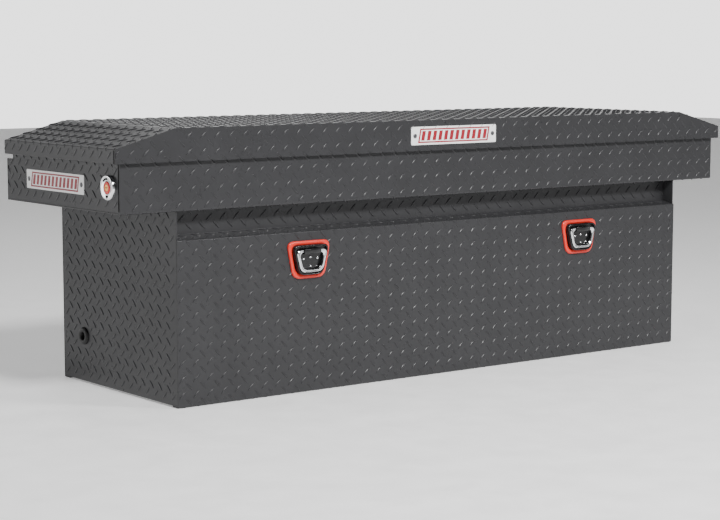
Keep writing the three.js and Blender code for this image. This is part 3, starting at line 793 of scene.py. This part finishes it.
WALL_DIRECTION = (0.6, 0.8, 0)  # towards the wall behind the box
FLOOR_REACH = 12
FLOOR_DROP = 0.5 * MM  # the floor lies this far under the CAD model's feet


def build_floor():
    floor_mesh = bpy.data.meshes.new("floor")
    corners = [(x * FLOOR_REACH, y * FLOOR_REACH, 0) for x, y in ((-1, -1), (1, -1), (1, 1), (-1, 1))]
    floor_mesh.from_pydata(corners, [], [(0, 1, 2, 3)])
    floor = bpy.data.objects.new("floor", floor_mesh)
    floor.location.z = -FLOOR_DROP
    bpy.context.scene.collection.objects.link(floor)
    floor_look = Look("studio_floor", (0.92, 0.92, 0.92), 0.6)
    floor_look.put(floor_look.shader, "Emission Color", (1, 1, 1, 1))
    floor_look.put(floor_look.shader, "Emission Strength", 0.3)
    floor_mesh.materials.append(floor_look.material)


def smooth_ramp(tree, source, start, end, low, high):
    """A value that runs smoothly from low to high as the source goes from start to end."""
    ramp = tree.nodes.new("ShaderNodeMapRange")
    ramp.interpolation_type = "SMOOTHSTEP"
    for socket, value in (("From Min", start), ("From Max", end), ("To Min", low), ("To Max", high)):
        ramp.inputs[socket].default_value = value
    tree.links.new(source, ramp.inputs["Value"])
    return ramp.outputs["Result"]


def build_world():
    """A pale wall behind the box, and a darker room in front of it and overhead."""
    world = bpy.data.worlds.new("studio")
    world.use_nodes = True
    tree = world.node_tree
    direction = tree.nodes.new("ShaderNodeTexCoord").outputs["Generated"]
    facing = tree.nodes.new("ShaderNodeVectorMath")
    facing.operation = "DOT_PRODUCT"
    facing.inputs[1].default_value = WALL_DIRECTION
    tree.links.new(direction, facing.inputs[0])
    split = tree.nodes.new("ShaderNodeSeparateXYZ")
    tree.links.new(direction, split.inputs["Vector"])
    strength = tree.nodes.new("ShaderNodeMath")
    strength.operation = "MULTIPLY"
    wall = smooth_ramp(tree, facing.outputs["Value"], 0.1, 0.8, 0.36, 2.4)
    fall_off = smooth_ramp(tree, split.outputs["Z"], 0.1, 0.3, 1, 0.1)
    tree.links.new(wall, strength.inputs[0])
    tree.links.new(fall_off, strength.inputs[1])
    background = tree.nodes["Background"]
    background.inputs["Color"].default_value = (1, 1, 1, 1)
    tree.links.new(strength.outputs["Value"], background.inputs["Strength"])
    bpy.context.scene.world = world


def build_lights():
    centre = (0, 0, 0.3)
    area_light("key", (-0.9, -3.1, 3.0), centre, (0.8, 0.6), 200)
    area_light("second", (1.6, -3.0, 2.7), (0.7, -0.2, 0.3), (0.6, 0.5), 70)
    area_light("overhead", (-0.6, 0.5, 3.2), centre, (2.4, 0.8), 14)
    area_light("left", (-3.4, 2.0, 0.8), (-0.8, 0, 0.4), (2.0, 1.6), 24)
    area_light("back", (1.4, 3.2, 2.6), centre, (1.2, 0.8), 7)


def build_camera():
    data = bpy.data.cameras.new("camera")
    data.sensor_width = 36
    data.lens = 94.84
    data.clip_start, data.clip_end = 0.05, 60
    camera = bpy.data.objects.new("camera", data)
    bpy.context.scene.collection.objects.link(camera)
    camera.location = (-2.8676, -3.6431, 0.7768)
    pitch, yaw = math.radians(6.544), math.radians(37.409)
    camera.rotation_euler = (math.pi / 2 - pitch, 0, -yaw)
    bpy.context.scene.camera = camera


# ---------------------------------------------------------------- the object

LID_SHEETS = ["lid_top", "lid_end_left", "lid_end_right", "lid_skirt_front", "lid_skirt_rear"]
BODY_SHEETS = [
    "tub_front_panel", "tub_rear_panel", "tub_end_left", "tub_end_right", "tub_floor",
    "saddle_front_panel", "saddle_rear_panel", "saddle_end_left", "saddle_end_right",
    "hinge_shelf", "rear_upstand", "wing_floor_left", "wing_floor_right",
]

build_camera()
build_body_sheets()
build_lid_shell()
build_tread()

build_tie_downs()
build_locks()
build_name_plates()
build_grommets()
build_corner_seams()
build_plain_nodes()
build_floor()
build_world()
build_lights()
